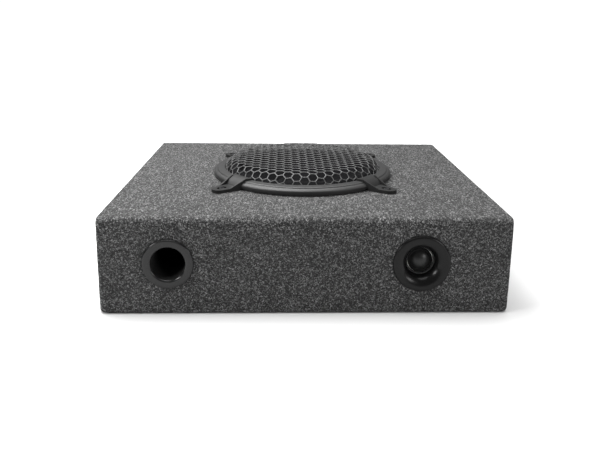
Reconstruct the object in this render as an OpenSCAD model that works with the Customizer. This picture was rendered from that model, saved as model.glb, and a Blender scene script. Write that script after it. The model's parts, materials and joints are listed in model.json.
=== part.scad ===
// Powered car subwoofer: a carpeted fibreboard box with a shallow 10 inch woofer under a raised grille,
// a bass port and a dome tweeter in the front, and an amplifier panel in the rear.
// Millimetres, +Z up, the front faces -Y, and the origin is the middle of the underside.

/* [Enclosure] */
// Width of the covered box, side to side
box_w = 500; // [460:1:560]
// Depth of the covered box, front to rear
box_d = 450; // [430:1:520]
// Height of the covered box
box_h = 120; // [118:1:140]
// Thickness of the fibreboard panels
panel_t = 15; // [12:1:16]
// Thickness of the carpet covering
carpet_t = 3; // [2:0.5:4]
// Radius of the upright edges, over the carpet
edge_r = 8; // [6:1:16]
// Radius of the top front and top rear edges, over the carpet
top_edge_r = 8; // [6:1:12]

/* [Woofer and grille] */
// Radius of the hole that the woofer drops into
woofer_hole_r = 117.5; // [116.5:0.5:118]
// Outer radius of the grille's trim ring
ring_r = 133; // [133:0.5:136]
// Inner radius of the grille's trim ring
ring_in_r = 116.5; // [116:0.5:117]
// Height of the grille's crown above the carpet
crown_h = 27; // [25:1:40]
// Side of one six-sided cell of the grille
cell_side = 7.5; // [6:0.5:10]
// Width of the metal between two cells
cell_web = 1.4; // [1:0.1:2.5]
// Distance from the woofer's axis to a clamp's screw
clamp_screw_r = 154; // [152:1:160]
// Angle of a clamp from the sideways axis
clamp_a = 43; // [38:1:52]

/* [Port and tweeter] */
// Sideways place of the port, from the middle
port_x = -166; // [-180:1:-150]
// Radius of the port's bore
port_r = 20.25; // [18:0.25:22]
// Radius of the port's flange
port_flange_r = 30.5; // [28:0.5:34]
// How far the port reaches into the box
port_len = 165; // [100:5:220]
// Sideways place of the tweeter, from the middle
tweeter_x = 139.5; // [130:0.5:170]
// Height of the port's and the tweeter's axes
front_axis_z = 64; // [56:1:66]

/* [Amplifier] */
// Width of the amplifier's panel
amp_w = 250; // [246:1:280]
// Height of the amplifier's panel
amp_h = 96; // [92:1:100]
// Thickness of the amplifier's panel
amp_t = 3; // [2:0.5:4]
// Radius of a control knob
knob_r = 8; // [6:0.5:9]

/* [Hidden] */
$fn = 64;
e = 0.01; // small overlap that joins two solids
over = 1; // how far a cut starts outside the solid
gap = 0.1; // play between pieces that only touch
fit = 0.05; // play between pieces that are glued, plugged or screwed together
loose = 0.3; // play round a screw in a clearance hole
side = [-1, 1];

in_w = box_w - 2 * carpet_t; // fibreboard box, outside
in_d = box_d - 2 * carpet_t;
in_top = box_h - carpet_t;
room_z0 = carpet_t + panel_t; // air space, floor and ceiling
room_z1 = in_top - panel_t;
wall_depth = carpet_t + panel_t;

flange_z = box_h + 1; // underside of the basket's flange, on its foam gasket
flange_t = 2;
flange_r = 131;
surround_t = 1.2;
roll_r = 10;
cone_r = 92.5; // outer edge of the cone
seat_z = flange_z + flange_t; // top of the basket's flange
coil_r = 25;
coil_wall = 0.4;
spider_z = box_h - 30;
shelf_r = 67; // ledge that holds the spider
shelf_z = spider_z - flange_t; // underside of that ledge
leg_r = 109; // outside of the frame's legs, 10 below the flange
lip_r = 114; // outside of the frame where it meets the flange
plate_z = box_h - 44; // top of the magnet's top plate
plate_r = 56;
pole_t = 8; // thickness of the top plate and of the yoke
magnet_t = 18;
woofer_screw_circle = 124.5;
woofer_screw_n = 8;
gasket_in_r = 113; // inside of the foam ring on the surround
mid_roll_r = cone_r + roll_r;
land_in_r = cone_r - 6.5; // inner edge of the surround's land on the cone
land_out_r = 118;
tag_x = 7; // sideways place of the woofer's two tags
cone_drop = 25; // from the cone's rim to its neck
ring_z = box_h + 7; // where the trim ring bears on the surround's gasket
skirt_z = box_h + 2.5;
shoulder_r = ring_in_r - 15.5; // where the crown turns down into its skirt
shoulder_z = box_h + crown_h - 1.5;
mesh_t = 1.2;
clamp_top_z = box_h + 14.6;
clamp_crest_u = ring_in_r + 5; // where a clamp's hook turns down
clamp_foot_t = 4.5;
foot_top_z = box_h + clamp_foot_t;
slot_depth = 2.3;
slot_r = 4.2; // half width of a clamp's sunk slot
slot_reach = 3.2; // from the slot's middle to the middles of its round ends

port_neck_r = port_r + 2.25; // outside of the flange's neck
port_neck_len = 40;
tweeter_flange_r = 35;
tweeter_barrel_r = 25.5;
tweeter_coil_r = 12.5;
tweeter_barrel_len = 30;
plate_gap_z = -18; // back of the tweeter's front pole plate, measured from the carpet's face
cap_r = 9; // tweeter's capacitor, lying on the floor of the box
cap_x = tweeter_x + 10;
cap_y = -150;
cap_z = room_z0 + cap_r;

amp_gasket_t = 1;
amp_z = box_h / 2;
amp_y = box_d / 2 + amp_gasket_t; // back of the amplifier's panel
amp_face = amp_y + amp_t;
amp_hole_w = 220;
amp_hole_h = 66;
amp_screw_z = (amp_hole_h + room_z1 - room_z0) / 4; // up and down from the panel's middle
board_w = 210;
board_h = 60;
board_t = 1.6;
board_y = amp_y - 15; // face of the circuit board that looks at the panel
board_back = board_y - board_t;
control_z = amp_z + 19;
jack_z = amp_z - 18;
knob_x = [-15, 20, 55]; // gain, crossover, bass boost
switch_x = 84;
led_x = 100;
led_r = 2.5;
blade_x = 5.5; // sideways place of the fuse's blades, from its middle
rca_x = [-16, 6];
harness_x = 40;
fuse_x = 84;
stem_r = 3;
rca_collar_r = 4.5;
harness = [24, 14]; // width and height of the wiring socket
fuse_case = [22, 10]; // width and height of the fuse holder
lever = [4, 3.2]; // width and height of the phase switch's lever
screw_r = 2;

// ---------------------------------------------------------------- shared shapes

// Rectangle with round corners, from squares and circles so that the corners stay true arcs
module round_rect(w, d, r) {
    square([w - 2 * r, d], center = true);
    square([w, d - 2 * r], center = true);
    for (x = side, y = side) translate([x * (w / 2 - r), y * (d / 2 - r)]) circle(r);
}

// Block with its whole outline rounded in plan and its top front and top rear edges rounded
module soft_block(w, d, z0, z1, r, top_r) {
    intersection() {
        translate([0, 0, z0]) linear_extrude(z1 - z0) round_rect(w, d, r);
        rotate([90, 0, 90]) linear_extrude(w + 2 * over, center = true) {
            translate([-d / 2, z0 - over]) square([d, z1 - top_r - z0 + over]);
            translate([-d / 2 + top_r, z0 - over]) square([d - 2 * top_r, z1 - z0 + over]);
            for (s = side) translate([s * (d / 2 - top_r), z1 - top_r]) circle(top_r);
        }
    }
}

// Cube from its lowest corner to its highest corner
module span(lo, hi) {
    translate(lo) cube(hi - lo);
}

// Places children at equal angles round the woofer's axis
module around(n, r, start = 0) {
    for (i = [0 : n - 1]) rotate([0, 0, start + i * 360 / n]) translate([r, 0, 0]) children();
}

// Copies children at the woofer's screws
module at_woofer_screws() {
    around(woofer_screw_n, woofer_screw_circle, 180 / woofer_screw_n) children();
}

// Turns children, which lie along +X, to the four clamps' places
module at_clamps() {
    for (a = [clamp_a, 180 - clamp_a, 180 + clamp_a, 360 - clamp_a]) rotate([0, 0, a]) children();
}

// Child's +Z becomes the way out of the front, measured from the carpet's face
module on_front(x) {
    translate([x, -box_d / 2, front_axis_z]) rotate([90, 0, 0]) children();
}

// Hole from just above z = 0 down through a wall and its carpet
module wall_hole(r) {
    translate([0, 0, -wall_depth - over]) cylinder(r = r, h = wall_depth + 2 * over);
}

// Ring or washer standing on z = 0
module tube(outer, inner, h) {
    difference() {
        cylinder(r = outer, h = h);
        translate([0, 0, -over]) cylinder(r = inner, h = h + 2 * over);
    }
}

// Child's +Z becomes the way out of the rear, measured from the y given
module on_rear(x, y, z) {
    translate([x, y, z]) rotate([-90, 0, 0]) children();
}

// Screw with its head's underside at z = 0 and a cross recess in the head
module screw(head_r, head_h, shank_r, shank_len) {
    difference() {
        union() {
            cylinder(r = head_r, h = head_h);
            translate([0, 0, -shank_len]) cylinder(r = shank_r, h = shank_len + e);
        }
        for (a = [0, 90]) rotate([0, 0, a]) translate([0, 0, head_h * 0.95])
            cube([head_r * 1.1, head_r * 0.26, head_h], center = true);
    }
}

// Centripetal curve through a list of points, as a list of points
function curve_point(p, i, t) =
    let (n = len(p) - 1, a = p[max(i - 1, 0)], b = p[i], c = p[min(i + 1, n)], d = p[min(i + 2, n)])
    let (bend = 2 * a - 5 * b + 4 * c - d, twist = 3 * b - a - 3 * c + d)
    (2 * b + (c - a) * t + bend * t * t + twist * t * t * t) / 2;
function smooth_path(p, steps) = concat(
    [for (i = [0 : len(p) - 2], k = [0 : steps - 1]) curve_point(p, i, k / steps)], [p[len(p) - 1]]);
function unit(v) = v / norm(v);

// Round wire along a list of points
module wire(points, r, steps = 4, sides = 8) {
    path = smooth_path(points, steps);
    n = len(path);
    turn = 360 / sides;
    rings = [for (i = [0 : n - 1])
        let (t = unit(path[min(i + 1, n - 1)] - path[max(i - 1, 0)]),
             u = unit(cross(t, abs(t[2]) < 0.9 ? [0, 0, 1] : [1, 0, 0])), v = cross(t, u))
        for (k = [0 : sides - 1]) path[i] + r * (u * cos(turn * k) + v * sin(turn * k))];
    walls = [for (i = [0 : n - 2], k = [0 : sides - 1])
        let (a = i * sides + k, b = i * sides + (k + 1) % sides) [a, a + sides, b + sides, b]];
    first = [for (k = [0 : sides - 1]) k];
    last = [for (k = [0 : sides - 1]) (n - 1) * sides + sides - 1 - k];
    polyhedron(rings, concat(walls, [first], [last]));
}

// ---------------------------------------------------------------- enclosure

module fibreboard_shape() {
    soft_block(in_w, in_d, carpet_t, in_top, edge_r - carpet_t, top_edge_r - carpet_t);
}

module woofer_cut() {
    translate([0, 0, box_h]) {
        wall_hole(woofer_hole_r);
        at_woofer_screws() wall_hole(screw_r + fit);
        at_clamps() translate([clamp_screw_r, 0, 0]) wall_hole(screw_r + fit);
    }
}

module front_cut() {
    on_front(port_x) wall_hole(port_neck_r + gap);
    on_front(tweeter_x) wall_hole(tweeter_barrel_r + gap);
}

module amp_screw_places(y) {
    inset = 6;
    for (x = [-amp_w / 2 + inset, 0, amp_w / 2 - inset], s = side)
        on_rear(x, y, amp_z + s * amp_screw_z) children();
}

module rear_cut() {
    span([-amp_hole_w / 2, box_d / 2 - wall_depth - over, amp_z - amp_hole_h / 2],
         [amp_hole_w / 2, box_d / 2 + over, amp_z + amp_hole_h / 2]);
    amp_screw_places(box_d / 2) wall_hole(screw_r + fit);
}

module top_panel() {
    color("burlywood") difference() {
        intersection() {
            fibreboard_shape();
            span([-in_w, -in_d, room_z1], [in_w, in_d, in_top]);
        }
        woofer_cut();
    }
}

module bottom_panel() {
    color("burlywood") intersection() {
        fibreboard_shape();
        span([-in_w, -in_d, carpet_t], [in_w, in_d, room_z0]);
    }
}

module front_panel() {
    color("burlywood") difference() {
        intersection() {
            fibreboard_shape();
            span([-in_w, -in_d, room_z0], [in_w, -in_d / 2 + panel_t, room_z1]);
        }
        front_cut();
    }
}

module rear_panel() {
    color("burlywood") difference() {
        intersection() {
            fibreboard_shape();
            span([-in_w, in_d / 2 - panel_t, room_z0], [in_w, in_d, room_z1]);
        }
        rear_cut();
    }
}

module side_panel(s) {
    color("burlywood") translate([s * (in_w - panel_t) / 2, 0, (room_z0 + room_z1) / 2])
        cube([panel_t, in_d - 2 * panel_t, room_z1 - room_z0], center = true);
}

module corner_blocks() {
    block = 18;
    inset = panel_t + block / 2;
    color("tan") for (x = side, y = side)
        translate([x * (in_w / 2 - inset), y * (in_d / 2 - inset), (room_z0 + room_z1) / 2])
            cube([block, block, room_z1 - room_z0], center = true);
}

// Covering of the front, top and rear, in one strip
module carpet_wrap() {
    color("dimgray") difference() {
        intersection() {
            soft_block(box_w, box_d, carpet_t, box_h, edge_r, top_edge_r);
            span([-in_w / 2, -box_d, 0], [in_w / 2, box_d, box_h]);
        }
        soft_block(in_w, in_d, 0, in_top, edge_r - carpet_t, top_edge_r - carpet_t);
        woofer_cut();
        front_cut();
        rear_cut();
    }
}

module carpet_sides() {
    color("dimgray") difference() {
        soft_block(box_w, box_d, carpet_t, box_h, edge_r, top_edge_r);
        span([-in_w / 2, -box_d, 0], [in_w / 2, box_d, 2 * box_h]);
    }
}

module carpet_base() {
    color("dimgray") linear_extrude(carpet_t) round_rect(box_w, box_d, edge_r);
}

// ---------------------------------------------------------------- woofer

module woofer_gasket() {
    color("black") difference() {
        translate([0, 0, box_h]) tube(flange_r - 1, woofer_hole_r + 0.5, flange_z - box_h);
        translate([0, 0, seat_z]) at_woofer_screws() wall_hole(screw_r + loose);
    }
}

// Pressed steel frame with eight windows behind the cone
module woofer_basket() {
    foot_in_r = 29; // foot on the magnet
    foot_out_r = shelf_r - 5;
    windows = 8;
    color("darkslategray") difference() {
        rotate_extrude() polygon([
            [flange_r, seat_z], [lip_r - 1.5, seat_z], [leg_r - 2, seat_z - 10], [shelf_r - 1, spider_z],
            [foot_out_r - flange_t, spider_z], [foot_out_r - flange_t, plate_z + flange_t],
            [foot_in_r, plate_z + flange_t], [foot_in_r, plate_z], [foot_out_r, plate_z],
            [foot_out_r, shelf_z], [shelf_r, shelf_z], [leg_r, flange_z - 10], [lip_r, flange_z],
            [flange_r, flange_z]]);
        translate([0, 0, shelf_z - 3]) around(windows, 0, 180 / windows)
            linear_extrude(32) polygon([[73, -18], [103, -27], [103, 27], [73, 18]]);
        translate([0, 0, seat_z]) at_woofer_screws() wall_hole(screw_r + loose);
    }
}

// Rubber half roll with a land on the cone's rim and one on the frame
module woofer_surround() {
    roll_out_r = cone_r + 2 * roll_r;
    color([0.07, 0.07, 0.07]) rotate_extrude() translate([0, seat_z]) {
        translate([land_in_r, 0]) square([cone_r - land_in_r + surround_t, surround_t]);
        translate([roll_out_r - surround_t, 0]) square([land_out_r - roll_out_r + surround_t, surround_t]);
        translate([mid_roll_r, 0]) intersection() {
            difference() {
                circle(roll_r);
                circle(roll_r - surround_t);
            }
            translate([-roll_r, 0]) square([2 * roll_r, roll_r]);
        }
    }
}

module surround_gasket() {
    low = seat_z + surround_t;
    color([0.05, 0.05, 0.05]) translate([0, 0, low]) tube(land_out_r + 1.5, gasket_in_r, ring_z - low);
}

module woofer_cone() {
    wall = 1.5;
    neck = 4;
    fold_r = land_in_r - 1;
    color([0.1, 0.1, 0.1]) rotate_extrude() translate([0, seat_z]) polygon([
        [cone_r, -wall], [cone_r, 0], [fold_r, 0], [coil_r + 2, -cone_drop], [coil_r + fit, -cone_drop],
        [coil_r + fit, -cone_drop - neck], [coil_r + 2, -cone_drop - neck],
        [coil_r + 2.6, -cone_drop - 1.8], [fold_r + 0.6, -wall]]);
}

module dust_cap() {
    foot_r = 40;
    foot_z = seat_z - 19.2; // where the cone is as wide as the cap
    rise = 12;
    ball = (foot_r * foot_r + rise * rise) / (2 * rise);
    color([0.08, 0.08, 0.08]) rotate_extrude() translate([0, foot_z + rise - ball]) intersection() {
        difference() {
            circle(ball);
            circle(ball - 1);
        }
        translate([0, ball - rise]) square([foot_r, rise + over]);
    }
}

// Corrugated disc that centres the coil
module spider() {
    wave_r0 = coil_r + 3;
    wave_r1 = shelf_r - 9;
    rim_r = shelf_r - 2;
    waves = 4.5;
    wave_h = 1.6;
    steps = 48;
    t = 0.8;
    function wave(k) = [wave_r0 + (wave_r1 - wave_r0) * k / steps, wave_h * sin(360 * waves * k / steps)];
    top = [for (k = [0 : steps]) wave(k) + [0, t]];
    low = [for (k = [0 : steps]) wave(steps - k)];
    color("goldenrod") translate([0, 0, spider_z]) rotate_extrude() polygon(concat(
        [[coil_r + fit, t]], top, [[rim_r, t], [rim_r, 0]], low, [[coil_r + fit, 0]]));
}

module voice_coil_former() {
    low = plate_z - 15;
    color("dimgray") translate([0, 0, low]) tube(coil_r, coil_r - coil_wall, seat_z - cone_drop - low);
}

module voice_coil() {
    color("peru") translate([0, 0, plate_z - 14]) tube(coil_r + 0.85, coil_r + fit, 20);
}

module magnet_top_plate() {
    color("silver") translate([0, 0, plate_z - pole_t]) tube(plate_r, coil_r + 1.5, pole_t);
}

module magnet_ring() {
    color([0.2, 0.2, 0.21]) translate([0, 0, plate_z - pole_t - magnet_t]) tube(60, 32, magnet_t);
}

module magnet_yoke() {
    drop = magnet_t + 2 * pole_t;
    color("silver") translate([0, 0, plate_z - drop]) {
        cylinder(r = plate_r, h = pole_t);
        cylinder(r = coil_r - 1, h = drop);
    }
}

// Plastic block with two tags, under a frame leg that points to the rear
module woofer_terminals() {
    y0 = 84;
    y1 = 100;
    slope = (flange_z - 10 - shelf_z) / (leg_r - shelf_r);
    function under_leg(y) = shelf_z + (y - shelf_r) * slope - gap;
    color("ivory") rotate([90, 0, 90]) linear_extrude(24, center = true)
        polygon([[y0, under_leg(y0)], [y1, under_leg(y1)], [y1, spider_z + 4], [y0 + 8, spider_z + 4]]);
    for (x = side) color("gold")
        span([x * tag_x - 2, y1 - e, spider_z + 9], [x * tag_x + 2, y1 + 6, spider_z + 10]);
}

// Two flexible braids from the terminal block, through the frame's windows, to the back of the cone
module tinsel_leads() {
    color("peru") for (x = side) wire([
        [x * 12.5, 94, spider_z + 7], [x * 16.5, 92, spider_z + 9], [x * 17, 88, spider_z + 14],
        [x * 14, 78, spider_z + 17], [x * 9, 64, spider_z + 14.5], [x * 6, 52, spider_z + 16]], 0.7);
}

module woofer_screws() {
    color([0.06, 0.06, 0.06]) translate([0, 0, seat_z]) at_woofer_screws() screw(4, 2.6, screw_r, 18);
}

// ---------------------------------------------------------------- grille

module grille_ring() {
    color([0.13, 0.13, 0.13]) rotate_extrude() polygon([
        [ring_in_r, ring_z], [ring_r - 1.7, ring_z], [ring_r - 1.7, skirt_z], [ring_r, skirt_z],
        [ring_r, box_h + 6.2], [ring_r - 0.5, box_h + 7.3], [ring_r - 2.4, box_h + 8.9],
        [ring_r - 5, box_h + 9.7], [ring_r - 5.5, box_h + 10.9], [ring_r - 6.6, box_h + 11.4],
        [ring_in_r + 2, box_h + 12.2], [ring_in_r, box_h + 11.6]]);
}

// Solid under the grille's almost flat crown and its steep skirt, shrunk by t on its outside
module crown_solid(t) {
    rise = box_h + crown_h - shoulder_z;
    ball = (shoulder_r * shoulder_r + rise * rise) / (2 * rise);
    foot_z = ring_z - (t > 0 ? over : 0);
    hem_r = ring_in_r - gap - t;
    slant = 0.7 * t;
    rotate_extrude() {
        polygon([[0, foot_z], [hem_r, foot_z], [hem_r, box_h + 11], [hem_r - 1.3, box_h + 14.5],
            [ring_in_r - 6 - slant, shoulder_z - 5.5 - slant],
            [ring_in_r - 10.5 - slant, shoulder_z - 1.7 - slant],
            [shoulder_r - slant / 2, shoulder_z - t], [0, shoulder_z - t]]);
        intersection() {
            translate([0, shoulder_z + rise - ball]) circle(ball - t, $fn = 720);
            translate([0, shoulder_z - t - fit]) square([shoulder_r - slant / 2, rise + 2 * over]);
        }
    }
}

// Six-sided holes in columns, each column half a cell out of step with the next
module cell_field(limit) {
    col = 1.5 * cell_side;
    row = sqrt(3) * cell_side;
    hole = cell_side - cell_web / sqrt(3);
    n = ceil(limit / col);
    for (i = [-n : n], j = [-n : n])
        let (x = i * col, y = (j + (abs(i) % 2) / 2) * row)
            if (norm([x, y]) + cell_side < limit) translate([x, y])
                polygon([for (k = [0 : 5]) hole * [cos(60 * k), sin(60 * k)]]);
}

// Pressed sheet pierced by upright cells, with a plain hem inside the ring
module grille_mesh() {
    hem_z = ring_z + 6;
    color([0.16, 0.16, 0.16]) difference() {
        crown_solid(0);
        crown_solid(mesh_t);
        translate([0, 0, hem_z]) linear_extrude(crown_h) cell_field(ring_in_r - 3.5);
    }
}

// Everything that a clamp has to stay clear of: the ring, with a little play
module ring_envelope() {
    rotate_extrude() polygon([
        [0, box_h - over], [ring_r + 0.2, box_h - over], [ring_r + 0.2, box_h + 6.3],
        [ring_r - 0.3, box_h + 7.5], [ring_r - 2.2, box_h + 9.15], [ring_r - 4.7, box_h + 9.95],
        [ring_r - 5.2, box_h + 11.2], [ring_r - 6.4, box_h + 11.65], [ring_in_r + 1.4, box_h + 12.5],
        [0, box_h + 12.5]]);
}

// Extrudes an outline drawn with its x along a clamp and its y upward
module side_view() {
    rotate([90, 0, 0]) linear_extrude(60, center = true) children();
}

// Moulded bracket: a hook over the ring, a steep plate between two side ribs, and a slotted tongue
module grille_clamp() {
    tip_r = 10.5;
    tip_u = clamp_screw_r + 4.5;
    rib_t = 2.2;
    rib_end = clamp_screw_r - 6;
    // distance from the woofer's axis, and half width there
    half = [[ring_in_r - 6, 19], [ring_in_r - 1, 19], [clamp_crest_u, 16.5], [tip_u, tip_r]];
    difference() {
        union() {
            // hook, plate and tongue
            intersection() {
                side_view() polygon([[0, box_h], [0, clamp_top_z], [clamp_crest_u, clamp_top_z],
                    [ring_r - 1.6, box_h + 10.7], [ring_r + 3.5, foot_top_z], [2 * ring_r, foot_top_z],
                    [2 * ring_r, box_h]]);
                translate([0, 0, box_h - over]) linear_extrude(2 * (clamp_top_z - box_h)) {
                    polygon([for (s = side, i = [0 : 3])
                        let (k = s < 0 ? i : 3 - i) [half[k][0], s * half[k][1]]]);
                    translate([tip_u, 0]) circle(tip_r);
                }
            }
            // side ribs
            for (s = side) intersection() {
                side_view() polygon([[0, box_h], [0, clamp_top_z], [clamp_crest_u, clamp_top_z],
                    [clamp_crest_u + 1.5, clamp_top_z + 0.3], [clamp_crest_u + 3.5, clamp_top_z + 0.2],
                    [rib_end, foot_top_z + 0.4], [rib_end, box_h]]);
                translate([0, 0, box_h]) linear_extrude(2 * (clamp_top_z - box_h))
                    polygon([for (t = [0, rib_t], i = [0 : 3])
                        let (k = t > 0 ? 3 - i : i) [half[k][0], s * (half[k][1] - t)]]);
            }
        }
        ring_envelope();
        translate([0, 0, box_h]) cylinder(r = ring_in_r + 0.5, h = clamp_top_z);
        translate([clamp_screw_r, 0, foot_top_z]) wall_hole(screw_r + loose);
        // sunk slot round the screw's head
        translate([clamp_screw_r, 0, foot_top_z - slot_depth]) {
            for (x = side) translate([x * slot_reach, 0, 0]) cylinder(r = slot_r, h = clamp_foot_t);
            translate([-slot_reach, -slot_r, 0]) cube([2 * slot_reach, 2 * slot_r, clamp_foot_t]);
        }
    }
}

module grille_clamps() {
    color([0.13, 0.13, 0.13]) at_clamps() grille_clamp();
}

module clamp_screws() {
    color([0.05, 0.05, 0.05]) at_clamps() translate([clamp_screw_r, 0, foot_top_z - slot_depth])
        screw(slot_r - 0.5, 2, screw_r, 17);
}

// ---------------------------------------------------------------- port

module port_flange() {
    color([0.14, 0.14, 0.14]) on_front(port_x) rotate_extrude() polygon([
        [port_flange_r, 0], [port_flange_r, 1.6], [port_flange_r - 0.9, 2.4], [port_r + 4.4, 2.7],
        [port_r + 2, 2], [port_r + 0.6, 0.4], [port_r, -2.4], [port_r, -port_neck_len],
        [port_neck_r, -port_neck_len], [port_neck_r, 0]]);
}

module port_tube() {
    color([0.09, 0.09, 0.09]) on_front(port_x) translate([0, 0, -port_len])
        tube(port_neck_r + 2.5, port_neck_r + gap, port_len - wall_depth);
}

// ---------------------------------------------------------------- tweeter

// Flange and short horn in one moulding, with a barrel that passes through the front panel
module tweeter_faceplate() {
    color([0.09, 0.09, 0.09]) on_front(tweeter_x) rotate_extrude() polygon([
        [tweeter_flange_r, 0], [tweeter_flange_r, 1.6], [tweeter_flange_r - 1.2, 2.6], [29, 2.8], [26, 1.8],
        [23.2, -0.8], [20.8, -4.5], [19, -8.5], [17.6, -9.5], [17.6, -12], [22.6, -12],
        [22.6, -tweeter_barrel_len], [tweeter_barrel_r, -tweeter_barrel_len], [tweeter_barrel_r, 0]]);
}

module tweeter_trim_ring() {
    color("gray") on_front(tweeter_x) translate([0, 0, -11.8]) tube(17.5, 15.9, 1.6);
}

// Silk dome and its half-roll edge, in one pressing
module tweeter_dome() {
    foot = -13;
    rise = 6.2;
    ball = (tweeter_coil_r * tweeter_coil_r + rise * rise) / (2 * rise);
    wall = 0.4;
    color([0.12, 0.12, 0.12]) on_front(tweeter_x) rotate_extrude() {
        translate([0, foot + rise - ball]) intersection() {
            difference() {
                circle(ball);
                circle(ball - wall);
            }
            translate([0, ball - rise]) square([tweeter_coil_r, rise + over]);
        }
        intersection() {
            translate([tweeter_coil_r + 1.2, foot]) difference() {
                circle(1.5);
                circle(1.5 - wall);
            }
            translate([tweeter_coil_r - 1, foot]) square([5, 3]);
        }
        translate([tweeter_coil_r - 0.4, foot - wall]) square([0.8, wall + e]);
        translate([tweeter_coil_r + 2.2, foot - wall]) square([0.8, wall + e]);
    }
}

module tweeter_voice_coil() {
    color("peru") on_front(tweeter_x) translate([0, 0, -19.5])
        tube(tweeter_coil_r + 0.25, tweeter_coil_r - 0.15, 6.05);
}

module tweeter_magnet() {
    color([0.2, 0.2, 0.21]) on_front(tweeter_x) translate([0, 0, plate_gap_z - 6]) tube(22, 14.5, 6);
}

// Front plate with the gap, and rear plate with the pole
module tweeter_pole_plates() {
    color("silver") on_front(tweeter_x) {
        translate([0, 0, plate_gap_z]) tube(22.5, tweeter_coil_r + 0.8, 3);
        translate([0, 0, plate_gap_z - 9]) {
            cylinder(r = 22, h = 3);
            cylinder(r = tweeter_coil_r - 0.6, h = 12);
        }
    }
}

module tweeter_lock_nut() {
    nut_t = 8;
    color([0.15, 0.15, 0.15]) on_front(tweeter_x) translate([0, 0, -wall_depth - nut_t]) difference() {
        tube(tweeter_flange_r - 1, tweeter_barrel_r + gap, nut_t);
        around(12, tweeter_flange_r + 0.5) translate([0, 0, -over]) cylinder(r = 3.5, h = nut_t + 2 * over);
    }
}

// High-pass capacitor with a lead out of each end
module tweeter_capacitor() {
    translate([cap_x, cap_y, cap_z]) rotate([0, 90, 0]) {
        color("royalblue") cylinder(r = cap_r, h = 36, center = true);
        color("silver") cylinder(r = 0.6, h = 49, center = true);
    }
}

// ---------------------------------------------------------------- wiring

module woofer_leads() {
    for (x = side) color(x < 0 ? "firebrick" : "black") wire([
        [x * tag_x, 107.6, spider_z + 9.5], [x * tag_x, 116, spider_z + 8], [x * 6, 140, spider_z - 6],
        [x * 5, 165, spider_z - 20], [x * 4 - 4, 186, spider_z - 24],
        [x * 4 - 6, board_back - 0.5, spider_z - 20]], 1.4);
}

// From the tweeter to the amplifier, one of them by way of the capacitor
module tweeter_leads() {
    floor_z = room_z0 + 2.5;
    lead_r = 1.1;
    start_y = -197.4; // on the tweeter's rear plate
    // the run along the floor to the circuit board, on one side of the pair
    function run(s) = [
        [110 + s * 3, -60, floor_z], [100 + s * 3, 60, floor_z], [92 + s * 3, 160, floor_z + 3],
        [86 + s * 3, 196, floor_z + 22], [86 + s * 3, board_back - 0.5, floor_z + 24]];
    to_cap = [[tweeter_x + 8, start_y, front_axis_z], [tweeter_x + 14, -188, front_axis_z - 3],
        [cap_x + 32, -168, cap_z + 10], [cap_x + 32, -154, cap_z + 3], [cap_x + 25.8, cap_y, cap_z]];
    from_cap = [[cap_x - 25.8, cap_y, cap_z], [cap_x - 31, -146, cap_z - 3], [116, -124, floor_z]];
    straight = [[tweeter_x - 8, start_y, front_axis_z], [tweeter_x - 10, -188, front_axis_z - 3],
        [tweeter_x - 17, -166, floor_z + 10], [122.5, -130, floor_z]];
    color("firebrick") {
        wire(to_cap, lead_r);
        wire(concat(from_cap, run(-1)), lead_r);
    }
    color("black") wire(concat(straight, run(1)), lead_r);
}

// ---------------------------------------------------------------- amplifier

// Cuts or fills a rectangle on the rear, between two depths, around the place given
module rear_block(x, z, size, y0, y1) {
    span([x - size[0] / 2, y0, z - size[1] / 2], [x + size[0] / 2, y1, z + size[1] / 2]);
}

module amp_openings() {
    y0 = amp_y - over;
    y1 = amp_face + over;
    for (x = knob_x) on_rear(x, y0, control_z) cylinder(r = stem_r + 0.6, h = y1 - y0);
    for (x = rca_x) on_rear(x, y0, jack_z) cylinder(r = rca_collar_r + gap, h = y1 - y0);
    on_rear(led_x, y0, control_z) cylinder(r = led_r + gap, h = y1 - y0);
    rear_block(switch_x, control_z, [11, 4], y0, y1);
    rear_block(harness_x, jack_z, harness + [0.4, 0.4], y0, y1);
    rear_block(fuse_x, jack_z, fuse_case + [0.4, 0.4], y0, y1);
}

module amp_panel() {
    color([0.1, 0.1, 0.1]) difference() {
        on_rear(0, amp_y, amp_z) linear_extrude(amp_t) round_rect(amp_w, amp_h, 6);
        amp_openings();
        amp_screw_places(amp_face) wall_hole(screw_r + loose);
    }
}

module amp_gasket() {
    color([0.03, 0.03, 0.03]) difference() {
        on_rear(0, box_d / 2, amp_z) linear_extrude(amp_gasket_t) round_rect(amp_w - 2, amp_h - 2, 5);
        rear_block(0, amp_z, [amp_hole_w, amp_hole_h], 0, box_d);
        amp_screw_places(amp_face) wall_hole(screw_r + loose);
    }
}

module amp_heatsink() {
    x0 = -116;
    x1 = -36;
    fins = 11;
    fin_t = 2;
    h = 62;
    pitch = (x1 - x0 - fin_t) / (fins - 1);
    color([0.11, 0.11, 0.11]) translate([0, amp_face, amp_z - h / 2]) {
        translate([x0, 0, 0]) cube([x1 - x0, 3.5, h]);
        for (i = [0 : fins - 1]) translate([x0 + i * pitch, 0, 0]) cube([fin_t, 12, h]);
    }
}

// Copies children at the circuit board's four corners
module at_board_corners(y) {
    inset = 5;
    for (x = side, z = side)
        on_rear(x * (board_w / 2 - inset), y, amp_z + z * (board_h / 2 - inset)) children();
}

module amp_circuit_board() {
    color("darkgreen") difference() {
        rear_block(0, amp_z, [board_w, board_h], board_back, board_y);
        at_board_corners(board_back - over) cylinder(r = 1.6, h = board_t + 2 * over);
    }
}

module amp_standoffs() {
    color("goldenrod") at_board_corners(board_y) cylinder(r = 3, h = amp_y - board_y);
}

module amp_screws() {
    color([0.05, 0.05, 0.05]) amp_screw_places(amp_face) screw(3.8, 2.4, screw_r, 18);
}

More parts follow.
